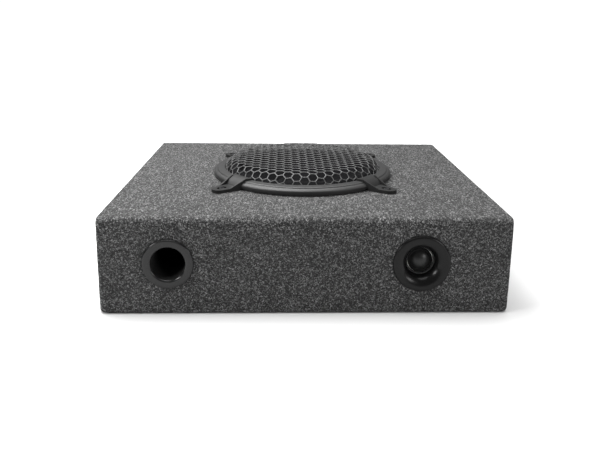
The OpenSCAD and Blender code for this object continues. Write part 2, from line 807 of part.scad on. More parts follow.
module supply_capacitors() {
    h = 26;
    color([0.07, 0.07, 0.12]) for (i = [0 : 3])
        on_rear(-88 + 20 * i, board_back - h, amp_z + 14) cylinder(r = 8, h = h);
}

module power_inductor() {
    h = 11;
    color("peru") on_rear(-60, board_back - h, amp_z - 15) tube(13, 5.5, h);
}

module potentiometers() {
    color([0.25, 0.3, 0.35]) for (x = knob_x) difference() {
        rear_block(x, control_z, [12, 12], board_y, amp_y - 4);
        on_rear(x, board_y + 1, control_z) cylinder(r = stem_r + fit, h = amp_y - board_y);
    }
}

// Fluted knob with a raised pointer and a stem that plugs into its control
module knob(x) {
    flutes = 18;
    skirt_y = amp_face + 0.6;
    skirt_t = 2.5;
    h = 11;
    color([0.06, 0.06, 0.06]) {
        difference() {
            on_rear(x, skirt_y, control_z) {
                cylinder(r = knob_r, h = skirt_t);
                cylinder(r = knob_r - 1, h = h);
            }
            on_rear(x, skirt_y + skirt_t, control_z) around(flutes, knob_r - 0.4, 180 / flutes)
                cylinder(r = 1, h = h);
        }
        span([x - 0.6, skirt_y + h - 0.5, control_z + 1],
             [x + 0.6, skirt_y + h + 0.6, control_z + knob_r - 1]);
        on_rear(x, board_y + 2, control_z) cylinder(r = stem_r, h = skirt_y - board_y - 1);
    }
}

module phase_switch_body() {
    color("silver") difference() {
        rear_block(switch_x, control_z, [18, 8], board_y, amp_y - gap);
        rear_block(switch_x, control_z, [10.4, 3.6], amp_y - 5, amp_y + over);
    }
}

// Slides along its slot, shown at the end nearer the bass knob
module phase_switch_lever() {
    color([0.06, 0.06, 0.06])
        rear_block(switch_x - 2.5, control_z, lever, amp_y - 4.8, amp_face + 2.5);
}

// Two phono sockets on one block, each with a collar up to the panel's face
module rca_jacks() {
    barrel_r = 4.15;
    barrel_len = 9;
    bore_r = 1.6;
    difference() {
        union() {
            color([0.08, 0.08, 0.08])
                span([rca_x[0] - 9, board_y, jack_z - 8], [rca_x[1] + 9, amp_y - gap, jack_z + 8]);
            for (x = rca_x) on_rear(x, amp_y - over, jack_z) {
                color([0.08, 0.08, 0.08]) cylinder(r = rca_collar_r, h = amp_t + over);
                color("silver") cylinder(r = barrel_r, h = amp_t + over + barrel_len);
            }
        }
        for (x = rca_x) on_rear(x, amp_y - 4, jack_z) cylinder(r = bore_r, h = 30);
    }
}

// Shroud round two rows of pins
module harness_socket() {
    well_y = amp_y - 8;
    pin = [1.2, 1.2];
    color("ivory") difference() {
        rear_block(harness_x, jack_z, harness, board_y, amp_face + 5);
        rear_block(harness_x, jack_z, harness - [3, 3], well_y, amp_face + 5 + over);
    }
    color("gold") for (i = [-2 : 2], z = side)
        rear_block(harness_x + 4 * i, jack_z + 2.8 * z, pin, well_y - e, amp_face);
}

module fuse_holder() {
    color([0.08, 0.08, 0.08]) difference() {
        rear_block(fuse_x, jack_z, fuse_case, board_y, amp_face + 3);
        rear_block(fuse_x, jack_z, [19.6, 5.6], amp_face - 1, amp_face + 3 + over);
        for (s = side) rear_block(fuse_x + s * blade_x, jack_z, [5.6, 1], board_y + 2, amp_face);
    }
}

// Blade fuse: a coloured body with two blades
module fuse() {
    body_y = amp_face - 0.8;
    color("gold") rear_block(fuse_x, jack_z, [19, 5], body_y, amp_face + 9);
    color("silver") for (s = side)
        rear_block(fuse_x + s * blade_x, jack_z, [5.2, 0.7], amp_face - 11, body_y + e);
}

module power_led() {
    h = amp_face - board_y + 0.5;
    color("skyblue") on_rear(led_x, board_y, control_z) {
        cylinder(r = led_r, h = h);
        translate([0, 0, h]) intersection() {
            sphere(led_r);
            translate([-led_r - over, -led_r - over, 0]) cube(2 * (led_r + over));
        }
    }
}

// ---------------------------------------------------------------- one line per node

top_panel();
bottom_panel();
front_panel();
rear_panel();
side_panel(-1);  // left_panel
side_panel(1);  // right_panel
corner_blocks();
carpet_wrap();
carpet_sides();
carpet_base();
woofer_gasket();
woofer_basket();
woofer_surround();
woofer_cone();
dust_cap();
spider();
voice_coil_former();
voice_coil();
magnet_top_plate();
magnet_ring();
magnet_yoke();
woofer_terminals();
tinsel_leads();
surround_gasket();
woofer_screws();
grille_ring();
grille_mesh();
grille_clamps();
clamp_screws();
port_flange();
port_tube();
tweeter_faceplate();
tweeter_trim_ring();
tweeter_dome();
tweeter_voice_coil();
tweeter_magnet();
tweeter_pole_plates();
tweeter_lock_nut();
tweeter_capacitor();
woofer_leads();
tweeter_leads();
amp_panel();
amp_gasket();
amp_heatsink();
amp_circuit_board();
amp_standoffs();
amp_screws();
supply_capacitors();
power_inductor();
potentiometers();
knob(knob_x[0]);  // gain_knob
knob(knob_x[1]);  // crossover_knob
knob(knob_x[2]);  // bass_knob
phase_switch_body();
phase_switch_lever();
rca_jacks();
harness_socket();
fuse_holder();
fuse();
power_led();
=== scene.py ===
"""Looks of a powered car subwoofer: heathered carpet, hexagon grille, port, tweeter and amplifier panel.

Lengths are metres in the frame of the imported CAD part: +X right, +Y to the rear, +Z up, underside at z = 0.
"""

import json
import math

import bmesh
import bpy
import numpy as np
from mathutils import Matrix, Vector, noise

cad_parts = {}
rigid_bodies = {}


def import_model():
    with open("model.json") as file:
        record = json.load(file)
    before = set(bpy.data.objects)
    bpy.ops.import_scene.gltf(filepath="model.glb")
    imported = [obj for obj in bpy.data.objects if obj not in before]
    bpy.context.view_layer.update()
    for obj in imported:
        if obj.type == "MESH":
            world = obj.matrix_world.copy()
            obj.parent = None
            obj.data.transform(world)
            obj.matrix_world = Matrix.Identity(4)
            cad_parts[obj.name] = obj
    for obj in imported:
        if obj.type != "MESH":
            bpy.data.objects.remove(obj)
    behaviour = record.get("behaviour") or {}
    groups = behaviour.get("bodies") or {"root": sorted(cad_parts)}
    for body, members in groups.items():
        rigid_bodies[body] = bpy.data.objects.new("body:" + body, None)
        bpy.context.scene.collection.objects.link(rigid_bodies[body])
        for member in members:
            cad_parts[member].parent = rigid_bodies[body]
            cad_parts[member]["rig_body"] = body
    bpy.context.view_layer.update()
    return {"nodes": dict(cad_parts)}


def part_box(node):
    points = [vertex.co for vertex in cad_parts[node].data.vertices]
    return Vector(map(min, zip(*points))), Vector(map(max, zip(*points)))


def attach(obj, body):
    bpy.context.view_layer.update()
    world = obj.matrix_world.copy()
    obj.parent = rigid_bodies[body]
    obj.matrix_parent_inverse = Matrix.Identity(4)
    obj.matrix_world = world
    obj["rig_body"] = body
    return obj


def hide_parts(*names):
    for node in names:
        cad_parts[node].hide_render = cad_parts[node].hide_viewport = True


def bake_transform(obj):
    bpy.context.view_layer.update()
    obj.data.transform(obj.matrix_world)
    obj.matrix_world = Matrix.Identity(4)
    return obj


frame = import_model()
MM = 0.001

# ---------------------------------------------------------------- sizes read from the frame

HALF_W, HALF_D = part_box("carpet_base")[1].xy
BOX_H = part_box("carpet_wrap")[1].z
RING_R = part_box("grille_ring")[1].x
DOME_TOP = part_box("grille_mesh")[1].z
MESH_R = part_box("grille_mesh")[1].x
CONE_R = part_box("woofer_cone")[1].x
CONE_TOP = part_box("woofer_cone")[1].z
SURROUND_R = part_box("woofer_surround")[1].x
SURROUND_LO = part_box("woofer_surround")[0].z
SPIDER_LO, SPIDER_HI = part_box("spider")
CAP_LO, CAP_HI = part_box("dust_cap")


def centre(node):
    lo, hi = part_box(node)
    return (lo + hi) / 2


PORT_C = centre("port_flange")
PORT_FLANGE_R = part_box("port_flange")[1].x - PORT_C.x
TWEETER_C = centre("tweeter_faceplate")
TWEETER_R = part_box("tweeter_faceplate")[1].x - TWEETER_C.x
DOME_FOOT_Y = -HALF_D + 13 * MM  # where the tweeter's dome meets its rolled edge

# ---------------------------------------------------------------- camera, floor and light

CAMERA_AT = (-0.0295, -0.9594, 0.3628)
PITCH, YAW, ROLL = math.radians(10.441), math.radians(2.323), math.radians(0.851)
SENSOR_W = 36.0
LENS = 38.14
SHIFT = (-0.0067, -0.1556)
SKY_LIGHT = 0.25
SKY_SEEN = 1.05
KEY_STRENGTH = 3.8
SUN_ANGLE = math.radians(60)
# painted light: the floor is paler away from the box, so that it stays white where the lamps fall off
FLOOR_NEAR, FLOOR_FAR = 0.54, 0.80  # how pale the floor is by the box and away from it
FLOOR_FADE = (0.28, 1.3)  # distances from the box's middle between which it grows paler
FLOOR_REACH = 6.0
FLOOR_Z = -0.4 * MM
SOFTBOXES = [
    # name, direction from the box, watts, side, distance
    ("overhead_left", (-0.36, 0.10, 0.92), 18.0, 0.80, 0.95),
    ("left_window", (-0.756, -0.476, 0.446), 9.0, 0.34, 1.35),
    ("right_window", (0.660, -0.690, 0.300), 5.5, 0.38, 1.55),
    ("right_lamp", (0.880, -0.180, 0.430), 2.2, 0.18, 1.45),
]


def make_camera():
    data = bpy.data.cameras.new("camera")
    data.sensor_width, data.lens = SENSOR_W, LENS
    data.shift_x, data.shift_y = SHIFT
    camera = bpy.data.objects.new("camera", data)
    ahead = Vector((math.sin(YAW) * math.cos(PITCH), math.cos(YAW) * math.cos(PITCH), -math.sin(PITCH)))
    right = Vector((math.cos(YAW), -math.sin(YAW), 0))
    up = right.cross(ahead)
    right, up = (
        right * math.cos(ROLL) + up * math.sin(ROLL),
        up * math.cos(ROLL) - right * math.sin(ROLL),
    )
    camera.matrix_world = Matrix.Translation(CAMERA_AT) @ Matrix((right, up, -ahead)).transposed().to_4x4()
    bpy.context.scene.collection.objects.link(camera)
    bpy.context.scene.camera = camera


def make_light(name, kind, direction, energy, **settings):
    data = bpy.data.lights.new(name, kind)
    data.energy = energy
    distance = settings.pop("distance", 3.0)
    for key, value in settings.items():
        setattr(data, key, value)
    light = bpy.data.objects.new(name, data)
    towards = Vector(direction).normalized()
    light.location = towards * distance
    light.rotation_mode = "QUATERNION"
    light.rotation_quaternion = towards.to_track_quat("Z", "Y")
    bpy.context.scene.collection.objects.link(light)


def make_studio():
    """A broad sun and softboxes, mostly from overhead, over a pale floor in a white surround."""
    world = bpy.data.worlds.new("studio")
    bpy.context.scene.world = world
    world.use_nodes = True
    tree = world.node_tree
    background = tree.nodes["Background"]
    seen = tree.nodes.new("ShaderNodeLightPath")
    level = tree.nodes.new("ShaderNodeMapRange")
    level.inputs["To Min"].default_value = SKY_LIGHT
    level.inputs["To Max"].default_value = SKY_SEEN
    tree.links.new(seen.outputs["Is Camera Ray"], level.inputs["Value"])
    tree.links.new(level.outputs["Result"], background.inputs["Strength"])
    background.inputs["Color"].default_value = (1, 1, 1, 1)
    make_light("key", "SUN", (0.03, 0.16, 1.0), KEY_STRENGTH, angle=SUN_ANGLE)
    for name, direction, watts, size, distance in SOFTBOXES:
        make_light(name, "AREA", direction, watts, size=size, distance=distance)
    corners = [(x * FLOOR_REACH, y * FLOOR_REACH, FLOOR_Z) for x, y in ((-1, -1), (1, -1), (1, 1), (-1, 1))]
    floor = mesh_object("floor", corners, [(0, 1, 2, 3)], floor_material(), body=None)
    bpy.context.scene.view_settings.view_transform = "Standard"


# ---------------------------------------------------------------- mesh helpers


def mesh_object(name, points, faces, material, body="cabinet", smooth=True):
    """A piece from points and faces, riding on a CAD body."""
    mesh = bpy.data.meshes.new(name)
    mesh.from_pydata([tuple(p) for p in points], [], faces)
    mesh.validate()
    mesh.materials.append(material)
    mesh.polygons.foreach_set("use_smooth", [smooth] * len(mesh.polygons))
    piece = bpy.data.objects.new(name, mesh)
    bpy.context.scene.collection.objects.link(piece)
    if body:
        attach(piece, body)
    return piece


def smooth_profile(points, step, closed=True):
    """Round the corners of a profile with a Catmull-Rom curve through its points."""
    count = len(points)
    made = []
    for i in range(count if closed else count - 1):
        if closed:
            a, b, c, d = (np.array(points[(i + k) % count], float) for k in (-1, 0, 1, 2))
        else:
            a, b, c, d = (np.array(points[min(max(i + k, 0), count - 1)], float) for k in (-1, 0, 1, 2))
        parts = max(1, round(float(np.linalg.norm(c - b)) / step))
        for k in range(parts):
            t = k / parts
            bend = 2 * a - 5 * b + 4 * c - d
            twist = 3 * b - a - 3 * c + d
            made.append((2 * b + (c - a) * t + bend * t**2 + twist * t**3) / 2)
    if not closed:
        made.append(np.array(points[-1], float))
    return [tuple(p) for p in made]


def fillet(points, radius, parts=4, closed=True):
    """Replace each corner of a profile by a short arc, so that straight stretches stay straight."""
    count = len(points)
    made = []
    for i, here in enumerate(points):
        here = np.array(here, float)
        if not closed and i in (0, count - 1):
            made.append(tuple(here))
            continue
        before = np.array(points[i - 1], float) - here
        after = np.array(points[(i + 1) % count], float) - here
        reach = min(radius, 0.45 * np.linalg.norm(before), 0.45 * np.linalg.norm(after))
        start = here + before / np.linalg.norm(before) * reach
        end = here + after / np.linalg.norm(after) * reach
        for k in range(parts + 1):
            t = k / parts
            made.append(tuple((1 - t) ** 2 * start + 2 * t * (1 - t) * here + t**2 * end))
    return made


def lathe(name, profile, material, at=(0, 0, 0), facing="up", body="cabinet", turns=160, closed=True):
    """Revolve (radius, height) points. Facing front, heights run out of the box's front."""
    points, faces = [], []
    count = len(profile)
    for k in range(turns):
        angle = 2 * math.pi * k / turns
        for radius, height in profile:
            x, y = radius * math.cos(angle), radius * math.sin(angle)
            if facing == "up":
                points.append((at[0] + x, at[1] + y, at[2] + height))
            else:
                points.append((at[0] + x, at[1] - height, at[2] + y))
    for k in range(turns):
        for i in range(count if closed else count - 1):
            j = (i + 1) % count
            a, b = k * count, (k + 1) % turns * count
            faces.append((a + i, b + i, b + j, a + j))
    piece = mesh_object(name, points, faces, material, body=None)
    tidy_mesh(piece)
    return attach(piece, body)


def tidy_mesh(piece, sharp_deg=None):
    """Merge doubled points, face everything outwards, and keep edges sharper than sharp_deg crisp."""
    bm = bmesh.new()
    bm.from_mesh(piece.data)
    bmesh.ops.remove_doubles(bm, verts=bm.verts, dist=1e-6)
    bmesh.ops.dissolve_degenerate(bm, edges=bm.edges, dist=1e-7)
    bmesh.ops.recalc_face_normals(bm, faces=bm.faces)
    bm.to_mesh(piece.data)
    bm.free()
    if sharp_deg:
        piece.data.set_sharp_from_angle(angle=math.radians(sharp_deg))


def refine(node, material, width, segments=2, body="cabinet"):
    """A copy of a CAD node with its facets joined and its edges rounded, shown in place of the node."""
    source = frame["nodes"][node].data
    bm = bmesh.new()
    bm.from_mesh(source)
    bmesh.ops.remove_doubles(bm, verts=bm.verts, dist=1e-6)
    bmesh.ops.dissolve_limit(bm, angle_limit=math.radians(0.8), verts=bm.verts, edges=bm.edges)
    mesh = bpy.data.meshes.new(node + "_finished")
    bm.to_mesh(mesh)
    bm.free()
    mesh.materials.clear()
    mesh.materials.append(material)
    mesh.polygons.foreach_set("use_smooth", [True] * len(mesh.polygons))
    mesh.polygons.foreach_set("material_index", [0] * len(mesh.polygons))
    piece = bpy.data.objects.new(node + "_finished", mesh)
    bpy.context.scene.collection.objects.link(piece)
    bevel = piece.modifiers.new("edges", "BEVEL")
    bevel.limit_method = "ANGLE"
    bevel.angle_limit = math.radians(32)
    bevel.width = width
    bevel.segments = segments
    bevel.use_clamp_overlap = True
    normals = piece.modifiers.new("normals", "WEIGHTED_NORMAL")
    normals.keep_sharp = True
    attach(piece, body)
    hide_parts(node)
    return piece


# ---------------------------------------------------------------- materials


class Look:
    """A Principled material with a few shorthands for wiring procedural textures."""

    def __init__(self, name, roughness=0.5, metallic=0.0, **fixed):
        self.material = bpy.data.materials.new(name)
        self.material.use_nodes = True
        self.tree = self.material.node_tree
        self.surface = self.tree.nodes["Principled BSDF"]
        self.surface.inputs["Roughness"].default_value = roughness
        self.surface.inputs["Metallic"].default_value = metallic
        for key, value in fixed.items():
            self.surface.inputs[key.replace("_", " ").title().replace("Ior", "IOR")].default_value = value
        self.coords = self.tree.nodes.new("ShaderNodeTexCoord").outputs["Object"]

    def node(self, kind, values=None, **attributes):
        made = self.tree.nodes.new("ShaderNode" + kind)
        for key, value in attributes.items():
            setattr(made, key, value)
        for key, value in (values or {}).items():
            if isinstance(value, bpy.types.NodeSocket):
                self.tree.links.new(value, made.inputs[key])
            else:
                made.inputs[key].default_value = value
        return made

    def noise(self, size, detail=2.0, coords=None, roughness=0.55):
        values = {"Vector": coords or self.coords, "Scale": 1 / size, "Detail": detail}
        return self.node("TexNoise", {**values, "Roughness": roughness}).outputs["Fac"]

    def stretched(self, scale):
        """Object coordinates scaled per axis, for grain that runs one way."""
        return self.node("Mapping", {"Vector": self.coords, "Scale": scale}).outputs["Vector"]

    def distance_to(self, point):
        """How far each place of the surface is from a point."""
        return self.node("VectorMath", {0: self.coords, 1: point}, operation="DISTANCE").outputs["Value"]

    def ramp(self, value, stops):
        made = self.node("ValToRGB", {"Fac": value})
        elements = made.color_ramp.elements
        while len(elements) < len(stops):
            elements.new(0.5)
        for element, (place, colour) in zip(elements, stops):
            element.position = place
            element.color = (*colour, 1)
        return made.outputs["Color"]

    def range(self, value, low, high):
        return self.node("MapRange", {"Value": value, "To Min": low, "To Max": high}).outputs["Result"]

    def maths(self, operation, a, b):
        made = self.node("Math", operation=operation)
        for socket, value in zip(made.inputs, (a, b)):
            if isinstance(value, bpy.types.NodeSocket):
                self.tree.links.new(value, socket)
            else:
                socket.default_value = value
        return made.outputs["Value"]

    def weighted(self, *parts):
        """Sum of (value, weight) pairs."""
        total = 0.0
        for value, weight in parts:
            total = self.maths("ADD", self.maths("MULTIPLY", value, weight), total)
        return total

    def mix(self, factor, a, b, blend="MIX"):
        made = self.node("Mix", data_type="RGBA", blend_type=blend)
        for socket, value in zip((made.inputs[0], made.inputs[6], made.inputs[7]), (factor, a, b)):
            if isinstance(value, bpy.types.NodeSocket):
                self.tree.links.new(value, socket)
            else:
                socket.default_value = (*value, 1) if isinstance(value, tuple) else value
        return made.outputs[2]

    def paint(self, colour):
        self.tree.links.new(colour, self.surface.inputs["Base Color"])

    def rough(self, value):
        self.tree.links.new(value, self.surface.inputs["Roughness"])

    def bump(self, height, depth, strength=1.0):
        made = self.node("Bump", {"Height": height, "Distance": depth, "Strength": strength})
        self.tree.links.new(made.outputs["Normal"], self.surface.inputs["Normal"])


def tone(colour, share):
    return tuple(min(1.0, c * share) for c in colour)


def mottled(name, colour, spread, grain, roughness, rough_spread=0.06, bump=0.0, metallic=0.0, **fixed):
    """A finish whose colour, gloss and surface vary a little at the size of its grain."""
    look = Look(name, roughness, metallic, **fixed)
    fine = look.noise(grain, 3.0)
    broad = look.noise(grain * 18, 2.0)
    blend = look.maths("MULTIPLY_ADD", broad, 0.5)
    look.tree.links.new(look.maths("MULTIPLY", fine, 0.5), blend.node.inputs[2])
    look.paint(look.ramp(blend, [(0.3, tone(colour, 1 - spread)), (0.7, tone(colour, 1 + spread))]))
    look.rough(look.range(fine, roughness - rough_spread, roughness + rough_spread))
    if bump:
        look.bump(fine, bump)
    return look.material


def carpet_material():
    """Heathered felt: pale and dark tufts of 1 to 2 mm, with a painted shadow ring on the felt just outside
    the port's and the tweeter's flanges.
    """
    look = Look("heathered_carpet", 0.95, sheen_weight=0.04, sheen_roughness=0.7, specular_ior_level=0.2)
    tangle = look.node("TexNoise", {"Vector": look.coords, "Scale": 1 / (3.0 * MM), "Detail": 2.0})
    values = {0: tangle.outputs["Color"], 1: (-0.5, -0.5, -0.5)}
    centred = look.node("VectorMath", values, operation="ADD").outputs["Vector"]
    small = look.node("VectorMath", {0: centred, "Scale": 3.0 * MM}, operation="SCALE").outputs["Vector"]
    nap = look.stretched((1.0, 0.45, 1.0))
    bent = look.node("VectorMath", {0: nap, 1: small}, operation="ADD").outputs["Vector"]

    def flecks(size):
        cells = look.node("TexVoronoi", {"Vector": bent, "Scale": 1 / size, "Randomness": 1.0})
        return look.node("SeparateColor", {"Color": cells.outputs["Color"]}).outputs["Red"]

    fuzz = look.noise(0.7 * MM, 2.0, bent, 0.7)
    tufts = look.weighted((flecks(1.4 * MM), 0.40), (flecks(0.8 * MM), 0.34), (fuzz, 0.26))
    broad = look.noise(34 * MM, 3.0)
    greys = [(0.24, 0.004), (0.42, 0.012), (0.55, 0.030), (0.67, 0.080), (0.82, 0.19)]
    grey = look.ramp(tufts, [(place, (level,) * 3) for place, level in greys])
    shade = look.ramp(broad, [(0.3, (0.88,) * 3), (0.7, (1.12,) * 3)])
    cloth = look.mix(1.0, grey, shade, "MULTIPLY")
    # painted shadow: the felt is darkened to a quarter in a thin ring just outside each flange's rim
    for middle, radius in ((PORT_C, PORT_FLANGE_R), (TWEETER_C, TWEETER_R)):
        away = look.distance_to((middle.x, -HALF_D, middle.z))
        values = {"Value": away, "From Min": radius + 0.3 * MM, "From Max": radius + 1.2 * MM, "To Min": 0.25}
        painted_flange_shadow = look.node("MapRange", values).outputs["Result"]
        cloth = look.mix(1.0, cloth, painted_flange_shadow, "MULTIPLY")
    look.paint(cloth)
    look.bump(tufts, 1.2 * MM, 0.8)
    return look.material


def floor_material():
    """Matt pale paint with painted light: paler away from the box, so the far floor stays white where the
    lamps fall off, and darker where the box stands, so less light bounces onto its front.
    """
    look = Look("floor_paint", 0.75)
    away = look.distance_to((0, 0, 0))
    # painted light: the floor grows paler with distance from the box's middle
    values = {"Value": away, "From Min": FLOOR_FADE[0], "From Max": FLOOR_FADE[1]}
    share = look.node("MapRange", values, interpolation_type="SMOOTHSTEP").outputs["Result"]
    cloud = look.range(look.noise(700 * MM, 2.0), 0.99, 1.01)
    paint = look.mix(share, grey(FLOOR_NEAR), grey(FLOOR_FAR))
    look.paint(look.mix(1.0, paint, cloud, "MULTIPLY"))
    return look.material


def fibreboard_material():
    look = Look("raw_fibreboard", 0.85)
    fibres = look.noise(0.9 * MM, 4.0, look.stretched((1.0, 1.0, 2.5)))
    broad = look.noise(25 * MM, 2.0)
    wood = look.ramp(fibres, [(0.3, (0.30, 0.19, 0.10)), (0.7, (0.50, 0.35, 0.20))])
    look.paint(look.mix(1.0, wood, look.ramp(broad, [(0.3, (0.85,) * 3), (0.7, (1.05,) * 3)]), "MULTIPLY"))
    look.bump(fibres, 0.2 * MM)
    return look.material


def port_material():
    """Glossy dark plastic on the flange's face; down the bore it turns matt, and painted shade takes its
    colour to near black.
    """
    look = Look("port_plastic", 0.2, specular_ior_level=0.30)
    depth = look.node("SeparateXYZ", {"Vector": look.coords}).outputs["Y"]
    # painted shade: from 0.1 mm to 1 mm behind the front, the colour goes near black down the bore
    values = {"Value": depth, "From Min": -HALF_D - 1.0 * MM, "From Max": -HALF_D - 0.1 * MM}
    painted_bore_shade = look.node("MapRange", values).outputs["Result"]
    fine = look.noise(0.5 * MM, 3.0)
    face = look.ramp(fine, [(0.3, grey(0.006)), (0.7, grey(0.009))])
    look.paint(look.mix(painted_bore_shade, face, grey(0.001)))
    look.rough(look.maths("ADD", look.range(fine, 0.15, 0.20), look.maths("MULTIPLY", painted_bore_shade, 0.75)))
    look.bump(fine, 0.01 * MM)
    return look.material


def woven_material(name, dark, light, pitch, roughness=0.8, depth=0.15):
    """Two sets of threads at right angles, seen from above or from the front."""
    look = Look(name, roughness)
    waves = []
    for axis in ("X", "Y", "Z"):
        values = {"Vector": look.coords, "Scale": 0.05 / pitch, "Distortion": 1.2}
        waves.append(look.node("TexWave", values, bands_direction=axis).outputs["Fac"])
    level, upright = (look.maths("MAXIMUM", waves[0], other) for other in waves[1:])
    cloth = look.maths("MULTIPLY", level, upright)
    look.paint(look.ramp(cloth, [(0.2, dark), (0.9, light)]))
    look.bump(cloth, depth * MM)
    return look.material


def silk_material():
    """Coated silk: satin on the dome; the rolled edge round it is rougher and has painted shade that takes it
    to near black.
    """
    look = Look("coated_silk", 0.36, specular_ior_level=0.28)
    # painted shade: from 11.2 mm to 12.4 mm out from the dome's foot, the silk goes near black in place of
    # the recess's shade
    foot = 11.2 * MM
    away = look.distance_to((TWEETER_C.x, DOME_FOOT_Y, TWEETER_C.z))
    values = {"Value": away, "From Min": foot, "From Max": foot + 1.2 * MM}
    edge = look.node("MapRange", values).outputs["Result"]
    weave = look.noise(0.3 * MM, 2.0)
    dome = look.ramp(weave, [(0.3, grey(0.006)), (0.7, grey(0.013))])
    look.paint(look.mix(edge, dome, grey(0.001)))
    look.rough(look.maths("ADD", look.range(weave, 0.32, 0.40), look.maths("MULTIPLY", edge, 0.6)))
    look.bump(weave, 0.02 * MM)
    return look.material


def wound_material():
    """Enamelled copper in close turns, stacked upward."""
    look = Look("enamelled_copper", 0.35, 0.85)
    values = {"Vector": look.coords, "Scale": 0.05 / (0.35 * MM)}
    turns = look.node("TexWave", values, bands_direction="Z").outputs["Fac"]
    look.paint(look.ramp(turns, [(0.1, (0.16, 0.05, 0.02)), (0.8, (0.62, 0.28, 0.13))]))
    look.bump(turns, 0.15 * MM)
    return look.material


def board_material():
    """Green solder mask with copper runs under it."""
    look = Look("solder_mask", 0.35, coat_weight=0.3)
    cells = look.node("TexBrick", {
        "Vector": look.coords, "Scale": 90.0, "Mortar Size": 0.06, "Mortar": (0.020, 0.17, 0.06, 1),
        "Color1": (0.010, 0.085, 0.035, 1), "Color2": (0.014, 0.105, 0.042, 1)})
    look.paint(cells.outputs["Color"])
    look.bump(cells.outputs["Fac"], 0.05 * MM)
    return look.material


def brushed_material(name, colour, roughness, metallic=1.0):
    look = Look(name, roughness, metallic)
    lines = look.noise(1.2 * MM, 3.0, look.stretched((0.15, 1.0, 4.0)))
    look.paint(look.ramp(lines, [(0.3, tone(colour, 0.82)), (0.7, tone(colour, 1.1))]))
    look.rough(look.range(lines, roughness - 0.1, roughness + 0.12))
    look.bump(lines, 0.03 * MM)
    return look.material


def grey(level, tint=0.0):
    """A grey with a very slight cool tint."""
    return (level, level, level * (1 + tint))


carpet = carpet_material()
black_plastic = mottled(
    "moulded_black_plastic", grey(0.010), 0.12, 0.5 * MM, 0.50, 0.07, 0.045 * MM, specular_ior_level=0.22)
ring_plastic = mottled(
    "smooth_ring_plastic", grey(0.015), 0.06, 0.5 * MM, 0.46, 0.02, 0.008 * MM, specular_ior_level=0.34)
port_plastic = port_material()
bore_plastic = mottled("matt_bore_plastic", grey(0.004), 0.1, 0.5 * MM, 0.7, 0.05, specular_ior_level=0.15)
horn_plastic = mottled(
    "satin_horn_plastic", grey(0.003), 0.10, 0.4 * MM, 0.26, 0.03, 0.01 * MM, specular_ior_level=0.17)
coated_steel = mottled("powder_coated_steel", grey(0.035, 0.03), 0.15, 0.35 * MM, 0.34, 0.07, 0.03 * MM, 0.35)
mesh_coat = mottled("grille_mesh_coat", grey(0.040), 0.12, 0.5 * MM, 0.40, 0.06, 0.02 * MM)
panel_steel = mottled("textured_panel_coat", grey(0.022, 0.05), 0.18, 0.7 * MM, 0.55, 0.08, 0.12 * MM)
screw_steel = mottled("black_oxide_steel", grey(0.030, 0.06), 0.25, 0.4 * MM, 0.32, 0.08, 0.02 * MM, 0.7)
plated_steel = brushed_material("zinc_plated_steel", (0.60, 0.60, 0.57), 0.32)
bright_metal = brushed_material("nickel_plate", (0.72, 0.70, 0.66), 0.22)
gold_plate = brushed_material("gold_plate", (0.80, 0.55, 0.20), 0.25)
former_metal = brushed_material("anodised_former", (0.16, 0.16, 0.17), 0.35, 0.8)
trim_metal = mottled("dark_trim_ring", grey(0.035), 0.06, 0.5 * MM, 0.7, 0.03, specular_ior_level=0.1)
anodised = brushed_material("black_anodised_fins", (0.030, 0.030, 0.032), 0.42, 0.6)
cone_paper = mottled(
    "pressed_pulp_cone", grey(0.004, 0.1), 0.35, 1.4 * MM, 0.85, 0.1, 0.25 * MM, specular_ior_level=0.04)
rubber = mottled(
    "butyl_rubber", grey(0.004, 0.1), 0.15, 0.8 * MM, 0.80, 0.07, 0.05 * MM, specular_ior_level=0.05)
foam = mottled("closed_cell_foam", grey(0.015), 0.4, 0.6 * MM, 0.95, 0.03, 0.3 * MM)
silk = silk_material()
spider_cloth = woven_material("dipped_spider_cloth", (0.20, 0.12, 0.03), (0.55, 0.38, 0.14), 0.7 * MM)
ferrite = mottled("sintered_ferrite", grey(0.055, 0.05), 0.25, 0.8 * MM, 0.7, 0.08, 0.08 * MM)
copper = wound_material()
braid = woven_material("tinsel_braid", (0.25, 0.11, 0.05), (0.75, 0.42, 0.25), 0.3 * MM, 0.4, 0.1)
fibreboard = fibreboard_material()
solder_mask = board_material()
ivory_nylon = mottled("ivory_nylon", (0.62, 0.58, 0.46), 0.06, 0.6 * MM, 0.45, 0.05, 0.02 * MM)
blue_film = mottled("blue_film_sleeve", (0.02, 0.07, 0.30), 0.12, 2 * MM, 0.28, 0.06)
can_sleeve = mottled("capacitor_sleeve", (0.014, 0.014, 0.03), 0.2, 2 * MM, 0.30, 0.06)
control_case = mottled("control_case", (0.10, 0.13, 0.16), 0.12, 0.8 * MM, 0.5, 0.06, 0.02 * MM)
red_jacket = mottled("red_lead_jacket", (0.35, 0.02, 0.02), 0.12, 1.5 * MM, 0.42, 0.06, 0.03 * MM)
amber = mottled(
    "amber_fuse_body", (0.80, 0.42, 0.03), 0.08, 1.0 * MM, 0.18, 0.04, transmission_weight=0.35)
lens_blue = mottled("led_lens", (0.10, 0.32, 0.80), 0.08, 1.0 * MM, 0.12, 0.03, transmission_weight=0.4)

